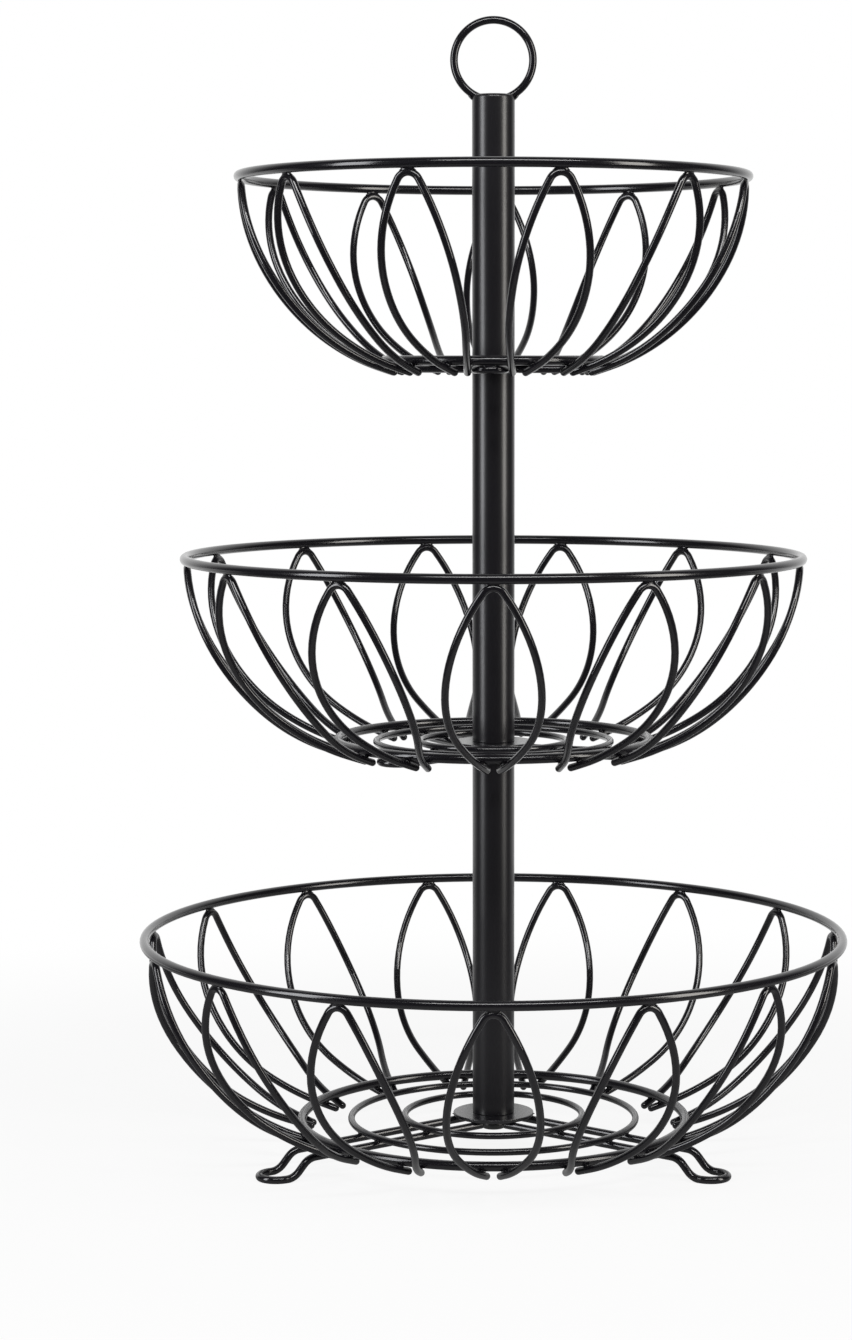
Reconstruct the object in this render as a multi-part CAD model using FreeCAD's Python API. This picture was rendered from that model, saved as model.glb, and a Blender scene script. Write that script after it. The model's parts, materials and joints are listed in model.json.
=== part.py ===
import FreeCAD, Part
import math
import os

# A free-standing fruit basket in three tiers. Each tier is a bowl of round wire: a rim, a row of
# bent petals, a base ring and flat floor rings. A pole of three screwed tubes carries the tiers.
# Millimetres. The pole stands on the Z axis, +Z is up, and the feet rest on z = 0.

# Wire diameters, and the coat between two wires at a weld
rim_wire = 4.3
petal_wire = 3.3
floor_wire = 3.0
leg_wire = 3.5
handle_wire = 3.5
weld_gap = 0.05

# Rims: radius to the middle of the wire, and height of the wire above the base ring
bottom_rim_radius = 158.1
middle_rim_radius = 138.4
top_rim_radius = 113.1
bottom_depth = 84.9
middle_depth = 82.6
top_depth = 81.0

# Base rings, and the floor rings inside them
bottom_base_radius = 87.7
middle_base_radius = 70.5
top_base_radius = 48.5
bottom_floor_outer = 65.0
bottom_floor_inner = 40.5
middle_floor_outer = 53.0
middle_floor_inner = 33.0
top_floor_radius = 33.0

# Petals: how many stand in each bowl, where the first one stands from the front, and after which
# petal the first of the three legs or spokes comes
bottom_petals = 15
middle_petals = 13
top_petals = 11
bottom_petal_turn = 0.0
middle_petal_turn = 0.0
top_petal_turn = 14.4
first_spoke_petal = 2

# A petal laid flat: half its width, its widest place from the tip, the bend at the tip, and its ends
bottom_petal_half_width = 19.6
middle_petal_half_width = 20.2
top_petal_half_width = 16.1
bottom_petal_widest_at = 56.0
middle_petal_widest_at = 51.5
top_petal_widest_at = 48.0
petal_tip_radius = 5.2
petal_end_half_gap = 3.0
petal_end_angle = 17.0
petal_tail = 5.0

# The bowl's section: the tip sits under the rim and leans in, the wall leaves it near upright,
# and passes under the base ring at the tail angle
tip_lean = 16.0
bottom_wall_angle = 0.4
middle_wall_angle = 1.3
top_wall_angle = 0.7
tail_angle = 18.0
bottom_wall_share = 0.48
middle_wall_share = 0.66
top_wall_share = 0.59

# Pole: two equal tubes, and a shorter top one with a closed, rounded end
tube_diameter = 19.0
tube_wall = 1.2
tube_edge = 0.3
tube_crown_edge = 1.6
section_length = 169.3
top_section_length = 117.9

# Hub discs, which the tubes clamp
hub_diameter = 36.6
hub_thickness = 1.6
hub_edge = 0.3
hub_height = 15.55

# Legs and spokes: hairpins of two parallel runs, closer together where the top petals end
hairpin_half_gap = 7.8
top_hairpin_half_gap = 6.5
hairpin_clearance = 1.5
leg_fall = 4.03
leg_knee_overhang = 10.8
leg_shin_reach = 7.3
leg_foot_length = 12.2
leg_bend_radius = 8.0
foot_flat = 0.3

# Screws: studs between the tubes, and the bolt under the bottom hub
thread_diameter = 6.0
thread_clearance = 0.05
thread_chamfer = 0.6
hub_hole_clearance = 0.3
thread_engagement = 8.0
stud_seat = 12.0
plug_length = 14.0
plug_clearance = 0.05
lock_washer_diameter = 12.0
lock_washer_thickness = 1.5
lock_washer_clearance = 0.25
bolt_washer_diameter = 16.0
bolt_washer_thickness = 1.6
bolt_head_diameter = 11.5
bolt_head_height = 4.4
bolt_head_edge = 1.4
bolt_slot_width = 1.2
bolt_slot_length = 6.0
bolt_slot_depth = 1.8

# Handle: a ring that stands in a slot across the top of the pole
handle_radius = 17.5
handle_rise = 15.1
handle_slot_clearance = 0.05

# Making of the wire paths
petal_knot_step = 30.0
straight_limit = 1e-6

up = FreeCAD.Vector(0, 0, 1)
origin = FreeCAD.Vector(0, 0, 0)
front = -90.0


class Run:
    """One stretch of a wire's middle line: straight, or an arc that leaves its start along a tangent."""

    def __init__(self, start, tangent, end):
        chord = end - start
        side = chord - tangent * chord.dot(tangent)
        self.start = start
        self.tangent = tangent
        self.end = end
        self.straight = side.Length < straight_limit
        self.length = chord.Length
        if not self.straight:
            self.angle = 2 * math.atan2(side.Length, chord.dot(tangent))
            self.radius = chord.Length ** 2 / (2 * side.Length)
            inward = side / side.Length
            self.centre = start + inward * self.radius
            self.axis = tangent.cross(inward)
            self.length = self.radius * self.angle

    def at(self, distance):
        """Point and direction at a distance along the stretch."""
        if self.straight:
            return self.start + self.tangent * distance, self.tangent
        turn = FreeCAD.Rotation(self.axis, math.degrees(distance / self.radius))
        return self.centre + turn.multVec(self.start - self.centre), turn.multVec(self.tangent)

    def sweep(self, ring):
        """Wall that a circle leaves behind on its way along the stretch, and the circle at its end."""
        moved = ring.copy()
        if self.straight:
            step = self.end - self.start
            moved.translate(step)
            return ring.extrude(step), moved
        degrees = math.degrees(self.angle)
        moved.rotate(self.centre, self.axis, degrees)
        return ring.revolve(self.centre, self.axis, degrees), moved


def unit(vector):
    return vector / vector.Length


def biarc(start, start_tangent, end, end_tangent, share=1.0):
    """Two tangent arcs between two points with given directions; share sets the first one's reach."""
    gap = end - start
    bend = 2 * share * (start_tangent.dot(end_tangent) - 1)
    reach = -2 * gap.dot(start_tangent * share + end_tangent)
    square = gap.dot(gap)
    if abs(bend) < straight_limit:
        second = -square / reach
    else:
        second = (-reach - math.sqrt(reach ** 2 - 4 * bend * square)) / (2 * bend)
    first = share * second
    corner_in = start + start_tangent * first
    corner_out = end - end_tangent * second
    middle = (corner_in * second + corner_out * first) / (first + second)
    return [Run(start, start_tangent, middle), Run(middle, unit(corner_out - corner_in), end)]


def bent(corners, radii):
    """Straight runs through corners, each inner corner rounded by an arc of its own radius."""
    runs = []
    here = corners[0]
    for before, corner, after, radius in zip(corners, corners[1:], corners[2:], radii):
        arriving = unit(corner - before)
        leaving = unit(after - corner)
        cut = radius * math.tan(arriving.getAngle(leaving) / 2)
        begin = corner - arriving * cut
        finish = corner + leaving * cut
        if (begin - here).Length > straight_limit:
            runs.append(Run(here, arriving, begin))
        runs.append(Run(begin, arriving, finish))
        here = finish
    runs.append(Run(here, unit(corners[-1] - here), corners[-1]))
    return runs


def dome(ring, outward):
    """Half ball that closes a wire's end, from the circle of that end."""
    centre = ring.Curve.Center
    side = ring.Vertexes[0].Point - centre
    tip = outward * side.Length
    middle = unit(side + tip) * side.Length
    arc = Part.Arc(centre + side, centre + middle, centre + tip).toShape()
    return arc.revolve(centre, outward, 360)


def round_wire(runs, diameter):
    """Solid of a round wire along joined stretches, with domed ends."""
    first_ring = Part.Edge(Part.Circle(runs[0].start, runs[0].tangent, diameter / 2))
    ring = first_ring
    walls = []
    for run in runs:
        wall, ring = run.sweep(ring)
        walls.append(wall)
    last_heading = runs[-1].at(runs[-1].length)[1]
    walls += [dome(first_ring, -runs[0].tangent), dome(ring, last_heading)]
    skin = Part.makeShell(walls)
    skin.sewShape()
    return Part.Solid(skin.Shells[0])


def ring_wire(radius, height, diameter):
    """Closed ring of round wire, level, round the pole."""
    return Part.makeTorus(radius, diameter / 2, FreeCAD.Vector(0, 0, height), up)


def around(shape, degrees):
    """Copy of a shape, turned about the pole."""
    copy = shape.copy()
    copy.rotate(origin, up, degrees)
    return copy


def drum(diameter, bottom, height):
    return Part.makeCylinder(diameter / 2, height, FreeCAD.Vector(0, 0, bottom), up)


def revolved(points):
    """Solid turned about the pole from an outline of radius and height pairs."""
    outline = Part.makePolygon([FreeCAD.Vector(radius, 0, height) for radius, height in points])
    return Part.Face(outline).revolve(origin, up, 360)


def section_point(section, distance):
    """Place on the bowl's section: radius, height, and their rates along the section."""
    for run in section[:-1]:
        if distance < run.length:
            break
        distance -= run.length
    else:
        run = section[-1]
    point, direction = run.at(distance)
    return point.x, point.z, direction.x, direction.z


def bowl_section(rim_radius, rim_height, base_radius, base_height, wall_angle, wall_share):
    """The bowl's wall from under the rim to the inside of the base ring, in the XZ plane."""
    touch = (rim_wire + petal_wire) / 2 + weld_gap
    lean = math.radians(tip_lean)
    wall = math.radians(wall_angle)
    tail = math.radians(tail_angle)
    tip = FreeCAD.Vector(rim_radius - touch * math.sin(lean), 0, rim_height - touch * math.cos(lean))
    heel = FreeCAD.Vector(base_radius + touch * math.sin(tail), 0, base_height - touch * math.cos(tail))
    down = FreeCAD.Vector(-math.sin(wall), 0, -math.cos(wall))
    inward = FreeCAD.Vector(-math.cos(tail), 0, -math.sin(tail))
    return biarc(tip, down, heel, inward, wall_share) + [Run(heel, inward, heel + inward * petal_tail)]


def petal_outline(length, half_width, widest_at):
    """Half of a petal laid flat: x runs down the bowl from the tip, y is the half width."""
    opening = 2 * math.atan2(half_width - petal_tip_radius, widest_at - petal_tip_radius)
    leaving = FreeCAD.Vector(math.cos(opening), math.sin(opening), 0)
    shoulder = FreeCAD.Vector(1 - math.sin(opening), math.cos(opening), 0) * petal_tip_radius
    widest = FreeCAD.Vector(widest_at, half_width, 0)
    end = FreeCAD.Vector(length, petal_end_half_gap, 0)
    closing = math.radians(petal_end_angle)
    end_heading = FreeCAD.Vector(math.cos(closing), -math.sin(closing), 0)
    tip = Run(origin, FreeCAD.Vector(0, 1, 0), shoulder)
    side = Run(shoulder, leaving, widest)
    return [tip, side] + biarc(widest, FreeCAD.Vector(1, 0, 0), end, end_heading)


def on_bowl(section, place, heading):
    """Carries a place and heading of the flat petal onto the bowl, petal centred on +X."""
    radius, height, radial_rate, height_rate = section_point(section, place.x)
    angle = place.y / radius
    outward = FreeCAD.Vector(math.cos(angle), math.sin(angle), 0)
    sideways = FreeCAD.Vector(-math.sin(angle), math.cos(angle), 0)
    across = heading.y - angle * radial_rate * heading.x
    direction = outward * (radial_rate * heading.x) + sideways * across + up * (height_rate * heading.x)
    return outward * radius + up * height, unit(direction)


def mirrored(vector):
    return FreeCAD.Vector(vector.x, -vector.y, vector.z)


def petal(section, half_width, widest_at):
    """One bent petal: both legs of the flat outline carried onto the bowl, joined at the tip."""
    outline = petal_outline(sum(run.length for run in section), half_width, widest_at)
    knots = [on_bowl(section, *outline[0].at(0))]
    for run in outline:
        steps = math.ceil(run.length / petal_knot_step)
        knots += [on_bowl(section, *run.at(run.length * step / steps)) for step in range(1, steps + 1)]
    other_leg = [(mirrored(place), -mirrored(direction)) for place, direction in reversed(knots[1:])]
    path = []
    for (start, leaving), (end, arriving) in zip(other_leg + knots, (other_leg + knots)[1:]):
        path += biarc(start, leaving, end, arriving)
    return round_wire(path, petal_wire)


def petal_row(one, count, turn):
    """The bowl's petals, evenly round the pole."""
    return Part.Compound([around(one, front + turn + 360 * index / count) for index in range(count)])


def spoke_angles(count, turn):
    """Three directions, each midway between two petals and about a third of a turn apart."""
    petal_step = 360 / count
    places = [first_spoke_petal + math.ceil(count * index / 3) for index in range(3)]
    return [front + turn + petal_step * place + petal_step / 2 for place in places]


# The inner ends of the hairpins clear the tube that stands under the hub, and the legs step down
# to the table outside the base ring
hairpin_start = tube_diameter / 2 + hairpin_clearance
hairpin_drop = weld_gap + leg_wire / 2
leg_knee_reach = bottom_base_radius + leg_knee_overhang
leg_ankle_reach = leg_knee_reach + leg_shin_reach
leg_foot_reach = leg_ankle_reach + leg_foot_length
leg_slope = leg_fall / (leg_knee_reach - hairpin_start)


def hairpin(side_points, radii, half_gap):
    """Wire of two parallel runs joined by a round end; points are reach and height along +X."""
    near = [FreeCAD.Vector(reach, half_gap, height) for reach, height in side_points]
    far = [mirrored(point) for point in reversed(near)]
    bends = radii + [half_gap, half_gap] + radii[::-1]
    return round_wire(bent(near + far, bends), leg_wire)


def leg_height(reach):
    """Height of the leg's middle line where it carries the bottom bowl."""
    return hub_height - hairpin_drop - leg_slope * (reach - hairpin_start)


def leg():
    """Hairpin leg: falls gently from the hub, steps down to the table and ends in a flat round foot."""
    foot = leg_wire / 2 - foot_flat
    points = [
        (hairpin_start, leg_height(hairpin_start)),
        (leg_knee_reach, leg_height(leg_knee_reach)),
        (leg_ankle_reach, foot),
        (leg_foot_reach, foot),
    ]
    wire = hairpin(points, [leg_bend_radius, leg_bend_radius], hairpin_half_gap)
    below = Part.makeBox(
        leg_foot_reach + leg_wire,
        2 * hairpin_half_gap + 2 * leg_wire,
        leg_wire,
        FreeCAD.Vector(0, -hairpin_half_gap - leg_wire, -leg_wire),
    )
    return wire.cut(below).Solids[0]


def spokes(height, base_radius, half_gap, angles):
    """Three level hairpins from under the hub to under the base ring."""
    one = hairpin([(hairpin_start, height), (base_radius, height)], [], half_gap)
    return Part.Compound([around(one, angle) for angle in angles])


def hub_disc(bottom):
    """Round plate with a clear hole for the thread and soft edges."""
    plate = drum(hub_diameter, bottom, hub_thickness)
    plate = plate.makeFillet(hub_edge, plate.Edges)
    hole = thread_diameter + 2 * hub_hole_clearance
    return plate.cut(drum(hole, bottom - hub_thickness, 3 * hub_thickness))


tube_bore = tube_diameter - 2 * tube_wall


def tube(bottom, length):
    """Open tube with soft outer edges."""
    body = drum(tube_diameter, bottom, length)
    body = body.makeFillet(tube_edge, [edge for edge in body.Edges if edge.Closed])
    return body.cut(drum(tube_bore, bottom - tube_wall, length + 2 * tube_wall))


def closed_tube(bottom, length):
    """Tube whose upper end is closed and rounded over."""
    body = drum(tube_diameter, bottom, length)
    body = body.makeFillet(tube_crown_edge, [edge for edge in body.Edges if edge.BoundBox.ZMin > bottom])
    return body.cut(drum(tube_bore, bottom - tube_wall, length))


def plug(bottom):
    """Threaded plug fixed in a tube's end."""
    outer = tube_bore - 2 * plug_clearance
    bore = thread_diameter + 2 * thread_clearance
    return drum(outer, bottom, plug_length).cut(drum(bore, bottom - plug_length, 3 * plug_length))


def washer(diameter, clearance, bottom, thickness):
    hole = thread_diameter + 2 * clearance
    return drum(diameter, bottom, thickness).cut(drum(hole, bottom - thickness, 3 * thickness))


# How far a thread stands above the hub that it passes through
thread_stand = hub_thickness + lock_washer_thickness + thread_engagement


def stud(seat):
    """Threaded rod, chamfered at both ends, set in the tube below the seat."""
    radius = thread_diameter / 2
    low = seat - stud_seat
    high = seat + thread_stand
    tip = radius - thread_chamfer
    return revolved([
        (0, low), (tip, low), (radius, low + thread_chamfer),
        (radius, high - thread_chamfer), (tip, high), (0, high), (0, low),
    ])


def bolt(seat):
    """Round-headed bolt that comes up through the bottom hub, with a cross slot in its head."""
    radius = thread_diameter / 2
    head_top = seat - bolt_washer_thickness
    head_bottom = head_top - bolt_head_height
    high = seat + thread_stand
    tip = radius - thread_chamfer
    head = drum(bolt_head_diameter, head_bottom, bolt_head_height)
    low_edges = [edge for edge in head.Edges if edge.BoundBox.ZMax < head_top]
    head = head.makeFillet(bolt_head_edge, low_edges)
    shank = revolved([
        (0, head_top), (radius, head_top), (radius, high - thread_chamfer),
        (tip, high), (0, high), (0, head_top),
    ])
    half = bolt_slot_length / 2
    slot = Part.makeBox(
        bolt_slot_length,
        bolt_slot_width,
        bolt_slot_depth,
        FreeCAD.Vector(-half, -bolt_slot_width / 2, head_bottom),
    )
    return head.fuse(shank).cut(slot).cut(around(slot, 90)).removeSplitter()


parts = {}


def bowl(name, base_height, rim_radius, depth, base_radius, floor_radii, seat_height, row):
    """Rim, petals, base ring and floor rings of one tier."""
    count, turn, half_width, widest_at, wall_angle, wall_share = row
    rim_height = base_height + depth
    section = bowl_section(rim_radius, rim_height, base_radius, base_height, wall_angle, wall_share)
    parts[name + "_rim"] = ring_wire(rim_radius, rim_height, rim_wire)
    parts[name + "_petals"] = petal_row(petal(section, half_width, widest_at), count, turn)
    parts[name + "_base_ring"] = ring_wire(base_radius, base_height, rim_wire)
    for label, radius in floor_radii:
        seat = seat_height(radius) + (leg_wire + floor_wire) / 2 + weld_gap
        parts[name + "_floor_ring" + label] = ring_wire(radius, seat, floor_wire)


def pole_foot(name, bottom):
    """Threaded plug in a tube's lower end, and the washer in the recess under that plug."""
    parts[name + "_tube_bottom_plug"] = plug(bottom + lock_washer_thickness)
    parts[name + "_lock_washer"] = washer(
        lock_washer_diameter, lock_washer_clearance, bottom, lock_washer_thickness
    )


def pole_head(name, top):
    """Threaded plug in a tube's upper end, and the stud that stands in it."""
    parts[name + "_tube_top_plug"] = plug(top - plug_length)
    parts[name + "_stud"] = stud(top)


ring_on_hairpin = (leg_wire + rim_wire) / 2 + weld_gap

# Bottom tier on its legs
bottom_row = (
    bottom_petals, bottom_petal_turn, bottom_petal_half_width, bottom_petal_widest_at,
    bottom_wall_angle, bottom_wall_share,
)
bowl(
    "bottom",
    leg_height(bottom_base_radius) + ring_on_hairpin,
    bottom_rim_radius,
    bottom_depth,
    bottom_base_radius,
    [("_outer", bottom_floor_outer), ("_inner", bottom_floor_inner)],
    leg_height,
    bottom_row,
)
leg_names = ["leg_front_right", "leg_back", "leg_front_left"]
one_leg = leg()
for leg_name, leg_angle in zip(leg_names, spoke_angles(bottom_petals, bottom_petal_turn)):
    parts[leg_name] = around(one_leg, leg_angle)
parts["bottom_hub_disc"] = hub_disc(hub_height)
parts["bottom_bolt"] = bolt(hub_height)
parts["bottom_bolt_washer"] = washer(
    bolt_washer_diameter, hub_hole_clearance, hub_height - bolt_washer_thickness, bolt_washer_thickness
)

# Lower tube, from the bottom hub to the middle hub
lower_tube_bottom = hub_height + hub_thickness
middle_hub_height = lower_tube_bottom + section_length
parts["lower_tube"] = tube(lower_tube_bottom, section_length)
pole_foot("lower", lower_tube_bottom)
pole_head("lower", middle_hub_height)

# Middle tier on its spokes
middle_row = (
    middle_petals, middle_petal_turn, middle_petal_half_width, middle_petal_widest_at,
    middle_wall_angle, middle_wall_share,
)
middle_spoke_height = middle_hub_height - hairpin_drop
bowl(
    "middle",
    middle_spoke_height + ring_on_hairpin,
    middle_rim_radius,
    middle_depth,
    middle_base_radius,
    [("_outer", middle_floor_outer), ("_inner", middle_floor_inner)],
    lambda radius: middle_spoke_height,
    middle_row,
)
parts["middle_hub_disc"] = hub_disc(middle_hub_height)
middle_spoke_angles = spoke_angles(middle_petals, middle_petal_turn)
parts["middle_spokes"] = spokes(
    middle_spoke_height, middle_base_radius, hairpin_half_gap, middle_spoke_angles
)

# Middle tube, from the middle hub to the top hub
middle_tube_bottom = middle_hub_height + hub_thickness
top_hub_height = middle_tube_bottom + section_length
parts["middle_tube"] = tube(middle_tube_bottom, section_length)
pole_foot("middle", middle_tube_bottom)
pole_head("middle", top_hub_height)

# Top tier on its spokes
top_row = (
    top_petals, top_petal_turn, top_petal_half_width, top_petal_widest_at,
    top_wall_angle, top_wall_share,
)
top_spoke_height = top_hub_height - hairpin_drop
bowl(
    "top",
    top_spoke_height + ring_on_hairpin,
    top_rim_radius,
    top_depth,
    top_base_radius,
    [("", top_floor_radius)],
    lambda radius: top_spoke_height,
    top_row,
)
parts["top_hub_disc"] = hub_disc(top_hub_height)
top_spoke_angles = spoke_angles(top_petals, top_petal_turn)
parts["top_spokes"] = spokes(top_spoke_height, top_base_radius, top_hairpin_half_gap, top_spoke_angles)

# Top tube, and the ring that stands in a slot across its closed end
top_tube_bottom = top_hub_height + hub_thickness
pole_top = top_tube_bottom + top_section_length
handle_centre = FreeCAD.Vector(0, 0, pole_top + handle_rise)
facing = FreeCAD.Vector(0, 1, 0)
slot = Part.makeTorus(handle_radius, handle_wire / 2 + handle_slot_clearance, handle_centre, facing)
parts["top_tube"] = closed_tube(top_tube_bottom, top_section_length).cut(slot)
pole_foot("top", top_tube_bottom)
parts["handle_ring"] = Part.makeTorus(handle_radius, handle_wire / 2, handle_centre, facing)

os.makedirs("parts", exist_ok=True)
for node, shape in parts.items():
    shape.exportStep("parts/" + node + ".step")
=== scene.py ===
import json
import math

import bmesh
import bpy
import numpy as np
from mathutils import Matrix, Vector


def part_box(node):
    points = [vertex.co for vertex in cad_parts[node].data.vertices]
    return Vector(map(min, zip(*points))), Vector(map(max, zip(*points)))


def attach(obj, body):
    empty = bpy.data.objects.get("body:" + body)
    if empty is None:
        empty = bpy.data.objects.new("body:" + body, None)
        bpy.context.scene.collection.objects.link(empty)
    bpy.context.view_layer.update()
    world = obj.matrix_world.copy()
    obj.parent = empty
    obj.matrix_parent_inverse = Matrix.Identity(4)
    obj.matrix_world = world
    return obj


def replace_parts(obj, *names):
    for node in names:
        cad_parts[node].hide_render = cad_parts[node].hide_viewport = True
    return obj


# Looks of a three-tier wire fruit basket: coats, welds, threads and a plain studio.
# Metres, +Z up along the pole, feet on z = 0, front towards -Y.

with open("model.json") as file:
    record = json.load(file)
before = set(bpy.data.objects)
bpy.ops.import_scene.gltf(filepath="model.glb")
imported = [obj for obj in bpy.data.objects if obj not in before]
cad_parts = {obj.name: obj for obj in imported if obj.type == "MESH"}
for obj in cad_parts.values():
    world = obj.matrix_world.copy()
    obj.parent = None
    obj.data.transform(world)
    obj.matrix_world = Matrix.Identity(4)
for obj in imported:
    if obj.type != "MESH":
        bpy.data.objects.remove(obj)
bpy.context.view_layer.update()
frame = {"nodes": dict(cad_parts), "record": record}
nodes = frame["nodes"]


# Meshes

def skinMesh(name, rings, smoothAngle=None):
    # rings[copy, step, around, xyz]: each copy is a skin through closed rings, with a flat cap at both ends
    copies, steps, around, _ = rings.shape
    index = np.arange(copies * steps * around).reshape(copies, steps, around)
    beside = np.roll(index, -1, axis=2)
    quads = np.stack([index[:, :-1], beside[:, :-1], beside[:, 1:], index[:, 1:]], axis=-1).reshape(-1, 4)
    caps = np.concatenate([index[:, 0, ::-1], index[:, -1]])
    mesh = bpy.data.meshes.new(name)
    mesh.from_pydata(rings.reshape(-1, 3).tolist(), [], quads.tolist() + caps.tolist())
    mesh.polygons.foreach_set("use_smooth", np.ones(len(mesh.polygons), bool))
    if smoothAngle:
        mesh.set_sharp_from_angle(angle=math.radians(smoothAngle))
    mesh.update()
    return mesh


def addPiece(mesh, body, slotName):
    piece = bpy.data.objects.new(mesh.name, mesh)
    bpy.context.scene.collection.objects.link(piece)
    mesh.materials.append(finishes[slotName])
    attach(piece, body)
    return piece


# Shader maths

class Signal:
    # a socket in a node tree; arithmetic on it adds Math nodes
    def __init__(self, tree, socket):
        self.tree = tree
        self.socket = socket

    def node(self, kind, settings, sockets, output=0):
        made = self.tree.nodes.new(kind)
        for key, value in settings.items():
            setattr(made, key, value)
        for key, value in sockets.items():
            if isinstance(value, Signal):
                self.tree.links.new(value.socket, made.inputs[key])
            else:
                made.inputs[key].default_value = value
        return Signal(self.tree, made.outputs[output]) if made.outputs else None

    def maths(self, operation, first, second, clamp=False):
        settings = {"operation": operation, "use_clamp": clamp}
        return self.node("ShaderNodeMath", settings, {0: first, 1: second})

    def __add__(self, other):
        return self.maths("ADD", self, other)

    def __sub__(self, other):
        return self.maths("SUBTRACT", self, other)

    def __rsub__(self, other):
        return self.maths("SUBTRACT", other, self)

    def __mul__(self, other):
        return self.maths("MULTIPLY", self, other)

    __radd__ = __add__
    __rmul__ = __mul__

    def clamped(self):
        return self.maths("ADD", self, 0.0, clamp=True)

    def noise(self, grain, detail):
        # soft 3-D noise from 0 to 1, with features about one grain long (metres)
        sockets = {"Vector": self, "Scale": 1 / grain, "Detail": detail}
        return self.node("ShaderNodeTexNoise", {"noise_dimensions": "3D"}, sockets)

    def bumped(self, depth):
        # the normal of a surface whose height is self times a depth (metres)
        return self.node("ShaderNodeBump", {}, {"Strength": 1.0, "Distance": depth, "Height": self})

    def blendColor(self, first, second):
        # self goes from the first colour to the second
        settings = {"data_type": "RGBA"}
        return self.node("ShaderNodeMix", settings, {0: self, 6: first, 7: second}, output=2)


def startMaterial(name):
    material = bpy.data.materials.new(name)
    material.use_nodes = True
    tree = material.node_tree
    tree.nodes.clear()
    place = Signal(tree, tree.nodes.new("ShaderNodeTexCoord").outputs["Object"])
    return material, place


def endMaterial(place, surface):
    place.node("ShaderNodeOutputMaterial", {}, {"Surface": surface})


# Coats

noiseMiddle = 0.5                 # the mean of a noise
wireCoat = {
    "black": (0.0043, 0.0039, 0.0056, 1), "worn": (0.0079, 0.0073, 0.0094, 1), "cloudShare": 0.7,
    "gloss": 0.16, "glossSpread": 0.04, "dustSpread": 0.02, "specular": 0.66,
    "cloudGrain": 0.03, "peelGrain": 0.0024, "dustGrain": 0.0004, "peelDepth": 0.000004,
}
tubeCoat = dict(wireCoat, gloss=0.30, peelGrain=0.0022, peelDepth=0.000008)
plateCoat = dict(wireCoat, gloss=0.24, specular=0.9, peelGrain=0.0020, peelDepth=0.000003)
blackHardware = dict(
    wireCoat, black=(0.012, 0.012, 0.013, 1), worn=(0.028, 0.027, 0.026, 1), gloss=0.38, specular=0.7,
    peelGrain=0.0006, peelDepth=0.000006,
)


def powderCoat(name, coat):
    # sprayed and baked powder: even black, slightly wavy like orange peel, with a fine grain in it
    material, place = startMaterial(name)
    cloud = place.noise(coat["cloudGrain"], detail=3)
    peel = place.noise(coat["peelGrain"], detail=1.5)
    dust = place.noise(coat["dustGrain"], detail=1)
    share = coat["cloudShare"]
    color = (cloud * share + dust * (1 - share)).blendColor(coat["black"], coat["worn"])
    rough = coat["gloss"] + (cloud - noiseMiddle) * coat["glossSpread"]
    rough = rough + (dust - noiseMiddle) * coat["dustSpread"]
    surface = place.node("ShaderNodeBsdfPrincipled", {}, {
        "Base Color": color, "Roughness": rough, "Normal": peel.bumped(coat["peelDepth"]),
        "Specular IOR Level": coat["specular"],
    })
    endMaterial(place, surface)
    return material


zincPlate = {
    "bright": (0.60, 0.61, 0.62, 1), "dull": (0.44, 0.44, 0.43, 1), "gloss": 0.30, "glossSpread": 0.16,
    "cloudGrain": 0.004, "cloudShare": 0.75, "spangleGrain": 0.0005, "spangleDepth": 0.000008,
}


def zincFinish(name, coat):
    # bright zinc plating: cloudy from bath and handling, finely grained
    material, place = startMaterial(name)
    cloud = place.noise(coat["cloudGrain"], detail=4)
    spangle = place.noise(coat["spangleGrain"], detail=2)
    share = coat["cloudShare"]
    color = (cloud * share + spangle * (1 - share)).blendColor(coat["dull"], coat["bright"])
    rough = coat["gloss"] + (noiseMiddle - cloud) * coat["glossSpread"]
    surface = place.node("ShaderNodeBsdfPrincipled", {}, {
        "Base Color": color, "Roughness": rough, "Normal": spangle.bumped(coat["spangleDepth"]),
        "Metallic": 1.0,
    })
    endMaterial(place, surface)
    return material


finishes = {
    "wire_coat": powderCoat("wire_coat", wireCoat),
    "tube_coat": powderCoat("tube_coat", tubeCoat),
    "plate_coat": powderCoat("plate_coat", plateCoat),
    "black_hardware": powderCoat("black_hardware", blackHardware),
    "zinc_hardware": zincFinish("zinc_hardware", zincPlate),
}
for subpart in frame["record"]["subparts"]:
    slots = nodes[subpart["node"]].data.materials
    slots.clear()
    slots.append(finishes[subpart["material_slot"]])
print("coats:", len(finishes), "finishes on", len(nodes), "nodes")


# Welds

weld = {
    "coatGap": 0.00005, "steps": 7, "around": 14, "depth": 0.0009, "flare": 0.30,
    "dot": (0.0012, 0.0012),      # half length and half width where two wires cross
    "tip": (0.0030, 0.0010),      # along a ring, at a petal's tip or a hairpin's bend
    "lap": (0.0034, 0.0011),      # along a hairpin under its hub
}
bowls = {
    "bottom": {"petals": 15, "turn": 0.0, "footSpread": 0.004555, "floor": ["_outer", "_inner"]},
    "middle": {"petals": 13, "turn": 0.0, "footSpread": 0.004559, "floor": ["_outer", "_inner"]},
    "top": {"petals": 11, "turn": 14.4, "footSpread": 0.004513, "floor": [""]},
}
petalShape = {"wire": 0.00165, "tipLean": 16.0, "tailAngle": 18.0}
hairpin = {"arms": 3, "halfGap": 0.0078, "topHalfGap": 0.0065, "hubReach": 0.0129, "firstGap": 2}
front = -90.0                     # degrees round the pole, from +X to -Y
upward = np.array([0, 0, 1.0])


def ringOf(node):
    # middle-line radius, height and wire radius of a level ring, from its box
    low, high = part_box(node)
    wire = (high.z - low.z) / 2
    return (high.x - low.x) / 2 - wire, (high.z + low.z) / 2, wire


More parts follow.
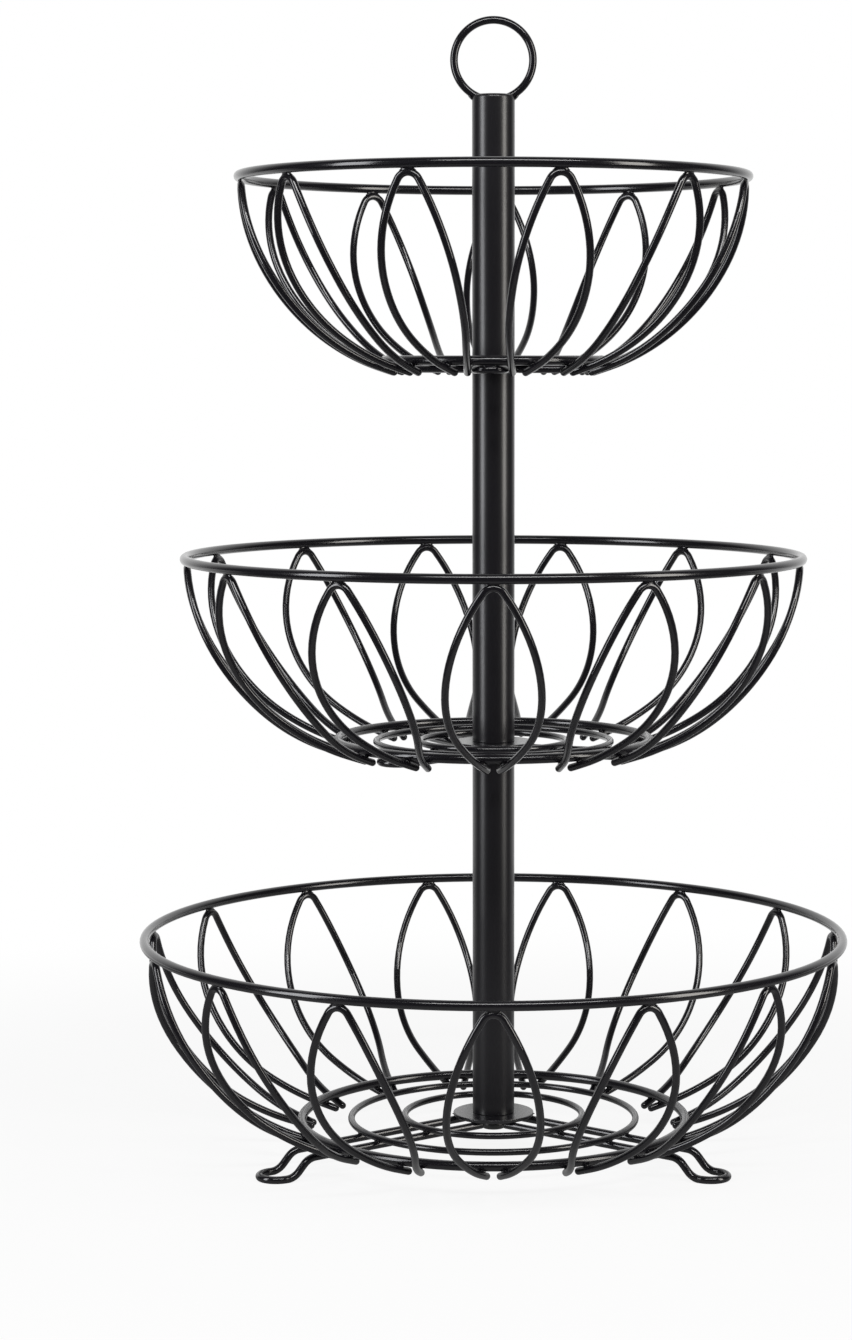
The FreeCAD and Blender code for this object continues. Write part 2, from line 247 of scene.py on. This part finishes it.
def turned(degrees, reach, side, height):
    # points at a reach and a sideways step in directions round the pole
    angle = np.radians(degrees)
    out = np.stack([np.cos(angle), np.sin(angle), np.zeros_like(angle)], axis=-1)
    across = np.stack([-np.sin(angle), np.cos(angle), np.zeros_like(angle)], axis=-1)
    return out * reach + across * side + upward * height, out, across


def beadRings(places, normals, along, size):
    # necks of weld metal: ellipses across the normal, narrow in the middle and flared into both wires
    across = np.cross(normals, along)
    step = np.linspace(-1, 1, weld["steps"])[None, :, None, None]
    angle = np.linspace(0, 2 * math.pi, weld["around"], endpoint=False)[None, None, :, None]
    width = 1 + weld["flare"] * step ** 2
    long = along[:, None, None] * (size[0] * np.cos(angle))
    wide = across[:, None, None] * (size[1] * np.sin(angle))
    return places[:, None, None] + normals[:, None, None] * (step * weld["depth"]) + (long + wide) * width


def ringWelds(ring, degrees, lean, size, side=0.0):
    # beads between a ring and the wires that touch it from below, at an angle outwards from straight down
    radius, height, wire = ring
    tilt = math.radians(lean)
    reach = radius + (wire + weld["coatGap"] / 2) * math.sin(tilt)
    drop = (wire + weld["coatGap"] / 2) * math.cos(tilt)
    places, out, across = turned(degrees, math.sqrt(reach ** 2 - side ** 2), side, height - drop)
    return beadRings(places, upward * math.cos(tilt) - out * math.sin(tilt), across, size)


def bowlWelds(name, shape):
    # every weld of one bowl: petal tips, petal feet, hairpins under the rings and under the hub
    petals = front + shape["turn"] + 360 * np.arange(shape["petals"]) / shape["petals"]
    gaps = hairpin["firstGap"] + np.ceil(shape["petals"] * np.arange(hairpin["arms"]) / hairpin["arms"])
    arms = front + shape["turn"] + 360 * (gaps + 0.5) / shape["petals"]
    halfGap = hairpin["topHalfGap"] if name == "top" else hairpin["halfGap"]
    rim = ringOf(name + "_rim")
    base = ringOf(name + "_base_ring")
    beads = [ringWelds(rim, petals, -petalShape["tipLean"], weld["tip"])]
    baseRadius, _, baseWire = base
    tail = math.radians(petalShape["tailAngle"])
    footReach = baseRadius + (baseWire + petalShape["wire"]) * math.sin(tail)
    footTurn = math.degrees(shape["footSpread"] / footReach)
    feet = np.concatenate([petals - footTurn, petals + footTurn])
    beads.append(ringWelds(base, feet, petalShape["tailAngle"], weld["dot"]))
    rings = [ringOf(name + "_floor_ring" + label) for label in shape["floor"]]
    if name == "bottom":
        rings.append(base)
    else:
        beads.append(ringWelds(base, arms, 0, weld["tip"]))
    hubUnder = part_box(name + "_hub_disc")[0].z
    for side in (-halfGap, halfGap):
        beads += [ringWelds(ring, arms, 0, weld["dot"], side) for ring in rings]
        places, out, _ = turned(arms, hairpin["hubReach"], side, hubUnder - weld["coatGap"] / 2)
        beads.append(beadRings(places, np.broadcast_to(upward, out.shape), out, weld["lap"]))
    return np.concatenate(beads)


for name, shape in bowls.items():
    rings = bowlWelds(name, shape)
    addPiece(skinMesh(name + "_welds", rings), name + "_basket", "wire_coat")
    print("welds:", len(rings), "on the", name, "bowl")


# The carry ring's welds: a fillet of weld metal under the ring at both corners of the pole's end
fillet = {
    "half": (0.0019, 0.0019, 0.00055), "lean": 49.0, "beyond": 0.0007, "drop": 0.0012,
    "turns": (0.0, 180.0), "steps": 13, "around": 24, "lastRing": 86.0,
}


def filletRings(corner, turn):
    # ellipsoids that lean outwards: rings whose size follows the cosine of the latitude, almost to the ends
    lean = math.radians(fillet["lean"])
    last = fillet["lastRing"]
    latitude = np.radians(np.linspace(-last, last, fillet["steps"]))[:, None]
    angle = np.linspace(0, 2 * math.pi, fillet["around"], endpoint=False)[None, :]
    long, wide, thick = fillet["half"]
    along = long * np.cos(latitude) * np.cos(angle)
    across = wide * np.cos(latitude) * np.sin(angle)
    rise = thick * np.sin(latitude) + 0 * angle
    out = corner[0] + along * math.cos(lean) - rise * math.sin(lean)
    up = corner[1] + along * math.sin(lean) + rise * math.cos(lean)
    turn = turn[:, None, None]
    level = [out * np.cos(turn) - across * np.sin(turn), out * np.sin(turn) + across * np.cos(turn)]
    return np.stack(level + [up + 0 * turn], axis=-1)


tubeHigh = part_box("top_tube")[1]
corner = (tubeHigh.x + fillet["beyond"], tubeHigh.z - fillet["drop"])
rings = filletRings(corner, np.radians(fillet["turns"]))
addPiece(skinMesh("handle_ring_welds", rings), "top_pole", "tube_coat")
print("welds:", len(rings), "on the carry ring")


# Threads

thread = {
    "radius": 0.003, "pitch": 0.001, "depth": 0.00061, "chamfer": 0.0006, "steepness": 1.6, "crest": 0.35,
    "stepsPerTurn": 12, "around": 40, "smoothAngle": 40,
}


def threadRings(low, high):
    # a rod whose radius follows a trapezoid wave of height minus turn, held under a cone at both ends
    radius = thread["radius"]
    steps = int((high - low) / thread["pitch"] * thread["stepsPerTurn"]) + 1
    height = np.linspace(low, high, steps)[:, None]
    angle = np.linspace(0, 2 * math.pi, thread["around"], endpoint=False)[None, :]
    wave = np.abs((height / thread["pitch"] - angle / (2 * math.pi)) % 1 - 0.5) * 2
    cut = np.clip(wave * thread["steepness"] - thread["crest"], 0, 1) * thread["depth"]
    cone = radius - thread["chamfer"] + np.minimum(height - low, high - height)
    reach = np.minimum(radius - cut, np.maximum(cone, radius - thread["chamfer"]))
    return np.stack([reach * np.cos(angle), reach * np.sin(angle), height + 0 * angle], axis=-1)[None]


for stud, body in (("lower_stud", "lower_pole"), ("middle_stud", "middle_pole")):
    low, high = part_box(stud)
    mesh = skinMesh(stud + "_thread", threadRings(low.z, high.z), thread["smoothAngle"])
    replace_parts(addPiece(mesh, body, "zinc_hardware"), stud)

bolt = {"headTop": 0.01395, "root": 0.0005, "mergeDistance": 0.000001, "cutDistance": 0.0000001}


def boltMesh(node):
    # the head is a merged copy of the solid's, cut off under the shank; a threaded shank starts inside it
    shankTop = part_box(node)[1].z
    shank = skinMesh("shank", threadRings(bolt["headTop"] - bolt["root"], shankTop))
    shape = bmesh.new()
    shape.from_mesh(nodes[node].data)
    bmesh.ops.remove_doubles(shape, verts=shape.verts, dist=bolt["mergeDistance"])
    everything = shape.verts[:] + shape.edges[:] + shape.faces[:]
    bmesh.ops.bisect_plane(
        shape, geom=everything, dist=bolt["cutDistance"], clear_outer=True,
        plane_co=(0, 0, bolt["headTop"]), plane_no=(0, 0, 1),
    )
    bmesh.ops.holes_fill(shape, edges=shape.edges)
    shape.from_mesh(shank)
    mesh = bpy.data.meshes.new(node + "_threaded")
    shape.to_mesh(mesh)
    shape.free()
    mesh.materials.clear()
    mesh.set_sharp_from_angle(angle=math.radians(thread["smoothAngle"]))
    return mesh


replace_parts(addPiece(boltMesh("bottom_bolt"), "bottom_basket", "black_hardware"), "bottom_bolt")

lockWasher = {
    "bore": 0.00325, "gap": 9.0, "slant": 7.0, "twist": 0.00012, "edge": 0.00015,
    "steps": 90, "smoothAngle": 30,
}


def splitRings(low, high):
    # a rectangle with cut corners carried round and up, from one slanted end of the gap to the other
    wide = ((high.x - low.x) / 2 - lockWasher["bore"]) / 2
    thick = (high.z - low.z) / 2 - lockWasher["twist"]
    edge = lockWasher["edge"]
    rise = np.array([thick, thick, thick - edge, edge - thick, -thick, -thick, edge - thick, thick - edge])
    out = np.array([edge - wide, wide - edge, wide, wide, wide - edge, edge - wide, -wide, -wide])
    along = np.linspace(lockWasher["gap"], 360 - lockWasher["gap"], lockWasher["steps"])[:, None]
    angle = np.radians(along + lockWasher["slant"] * rise / thick)
    reach = lockWasher["bore"] + wide + out
    height = (low.z + high.z) / 2 + rise + lockWasher["twist"] * (along / 180 - 1)
    return np.stack([reach * np.cos(angle), reach * np.sin(angle), height], axis=-1)[None]


for name in ("lower", "middle", "top"):
    rings = splitRings(*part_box(name + "_lock_washer"))
    mesh = skinMesh(name + "_split_washer", rings, lockWasher["smoothAngle"])
    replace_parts(addPiece(mesh, name + "_lock", "zinc_hardware"), name + "_lock_washer")
print("screws: two studs, a bolt, three split washers")


# Studio

studio = {
    "floorReach": 1.5, "floorSides": 64, "floorColor": (0.92, 0.92, 0.92, 1),
    "shadowShare": 0.12, "shadowReach": (0.25, 0.60),
    "fill": (0.16, 0.16, 0.16, 1), "white": (1, 1, 1, 1), "darkSide": (0.045, 0.045, 0.045, 1),
    # the near share and its fade paint light: a brighter floor glow close to the object, seen only by a
    # gloss
    "paperEdge": (0.0, 0.60), "paintedGlowNear": 0.22, "paintedGlowFade": (0.26, 0.44),
    "backdropEdge": (0.35, 0.95), "backdropLean": 0.35,
}
softboxes = {
    "left": {"azimuth": -62, "distance": 1.3, "low": 0.03, "high": 1.2, "width": 0.40, "power": 10.6,
             "tint": (0.96, 0.97, 1.0)},
    "right": {"azimuth": 62, "distance": 1.3, "low": 0.03, "high": 1.2, "width": 0.36, "power": 9.5,
              "tint": (1.0, 0.97, 0.92)},
}
topLight = {
    "elevation": 46, "azimuth": 7.5, "distance": 1.6, "size": (1.46, 0.22), "power": 13.9, "aim": 0.25,
}


def raySeen(signal, ray):
    # 1 on rays of one kind: Camera, Glossy or Transmission
    return signal.node("ShaderNodeLightPath", {}, {}, output=f"Is {ray} Ray")


def eased(signal, edge):
    # goes smoothly from 0 to 1 between the two ends of an edge
    settings = {"interpolation_type": "SMOOTHSTEP"}
    sockets = {"Value": signal, "From Min": edge[0], "From Max": edge[1]}
    return signal.node("ShaderNodeMapRange", settings, sockets)


def part(signal, axis):
    # one coordinate of a vector
    return signal.node("ShaderNodeSeparateXYZ", {}, {0: signal}, output=axis)


def addFloor():
    # white paper: a soft shadow near the object, plain white further out
    # a gloss sees its front half dark, and a painted pool of light close to the object
    reach = studio["floorReach"]
    turn = np.linspace(0, 2 * math.pi, studio["floorSides"], endpoint=False)
    rim = np.stack([reach * np.cos(turn), reach * np.sin(turn), 0 * turn], axis=-1)
    mesh = bpy.data.meshes.new("floor")
    mesh.from_pydata(rim.tolist(), [], [list(range(len(rim)))])
    material, place = startMaterial("floor")
    distance = place.node("ShaderNodeVectorMath", {"operation": "LENGTH"}, {0: place}, output="Value")
    toCamera = raySeen(place, "Camera")
    seen = (toCamera + raySeen(place, "Glossy") + raySeen(place, "Transmission")).clamped()
    # painted light: a brighter floor glow close to the object, seen only by a gloss
    near = (1 - eased(distance, studio["paintedGlowFade"])) * studio["paintedGlowNear"]
    color = (toCamera + eased(part(place, "Y"), studio["paperEdge"]) + near).clamped()
    glow = place.node("ShaderNodeEmission", {}, {
        "Color": color.blendColor(studio["darkSide"], studio["white"]), "Strength": 1.0,
    })
    matte = place.node("ShaderNodeBsdfDiffuse", {}, {"Color": studio["floorColor"]})
    share = 1 - studio["shadowShare"] * (1 - eased(distance, studio["shadowReach"]))
    endMaterial(place, place.node("ShaderNodeMixShader", {}, {0: seen * share, 1: matte, 2: glow}))
    material.cycles.emission_sampling = "NONE"      # it glows only to rays that look at it
    mesh.materials.append(material)
    floor = bpy.data.objects.new("floor", mesh)
    bpy.context.scene.collection.objects.link(floor)


def addWorld():
    # white to the camera; a gloss sees a white backdrop behind the object and a dark room in front of it
    world = bpy.data.worlds.new("studio")
    bpy.context.scene.world = world
    world.use_nodes = True
    tree = world.node_tree
    tree.nodes.clear()
    direction = Signal(tree, tree.nodes.new("ShaderNodeTexCoord").outputs["Generated"])
    toCamera = raySeen(direction, "Camera")
    mirrored = (raySeen(direction, "Glossy") + raySeen(direction, "Transmission")).clamped()
    behind = part(direction, "Y") + part(direction, "Z") * studio["backdropLean"]
    room = eased(behind, studio["backdropEdge"]).blendColor(studio["darkSide"], studio["white"])
    color = toCamera.blendColor(mirrored.blendColor(studio["fill"], room), studio["white"])
    sky = direction.node("ShaderNodeBackground", {}, {"Color": color, "Strength": 1.0})
    direction.node("ShaderNodeOutputWorld", {}, {"Surface": sky})
    world.cycles.sampling_method = "NONE"           # each kind of ray sees its own level


def addAreaLight(name, place, aim, width, height, power, tint=(1, 1, 1)):
    light = bpy.data.lights.new(name, "AREA")
    light.shape = "RECTANGLE"
    light.size = width
    light.size_y = height
    light.energy = power
    light.color = tint
    lamp = bpy.data.objects.new(name, light)
    lamp.location = place
    lamp.rotation_mode = "QUATERNION"
    lamp.rotation_quaternion = (aim - place).to_track_quat("-Z", "Y")
    lamp.visible_camera = False
    bpy.context.scene.collection.objects.link(lamp)


def addLights():
    for name, box in softboxes.items():
        angle = math.radians(box["azimuth"])
        aim = Vector((0, 0, (box["low"] + box["high"]) / 2))
        place = Vector((math.sin(angle) * box["distance"], -math.cos(angle) * box["distance"], aim.z))
        tall = box["high"] - box["low"]
        addAreaLight(name + "Softbox", place, aim, box["width"], tall, box["power"], box["tint"])
    tilt = math.radians(topLight["elevation"])
    turn = math.radians(topLight["azimuth"])
    aim = Vector((0, 0, topLight["aim"]))
    heading = Vector((math.sin(turn) * math.cos(tilt), -math.cos(turn) * math.cos(tilt), math.sin(tilt)))
    place = aim + heading * topLight["distance"]
    addAreaLight("topLight", place, aim, *topLight["size"], topLight["power"])


# The picture is 852 x 1340; the pole stands right of its middle
camera = {
    "place": (0, -1.4129, 0.3616), "pitch": 5.713, "sensor": 36.0,
    "focalPixels": 3143.0, "shortSide": 852, "longSide": 1340, "poleColumn": 493.45,
}


def addCamera():
    data = bpy.data.cameras.new("camera")
    data.sensor_width = camera["sensor"]
    data.lens = camera["focalPixels"] * camera["sensor"] / camera["longSide"]
    data.shift_x = (camera["shortSide"] / 2 - camera["poleColumn"]) / camera["longSide"]
    eye = bpy.data.objects.new("camera", data)
    eye.location = camera["place"]
    eye.rotation_euler = (math.radians(90 - camera["pitch"]), 0, 0)
    bpy.context.scene.collection.objects.link(eye)
    bpy.context.scene.camera = eye


addFloor()
addWorld()
addLights()
addCamera()
bpy.context.scene.view_settings.view_transform = "Standard"
print("studio: floor, two softboxes, top light, camera")
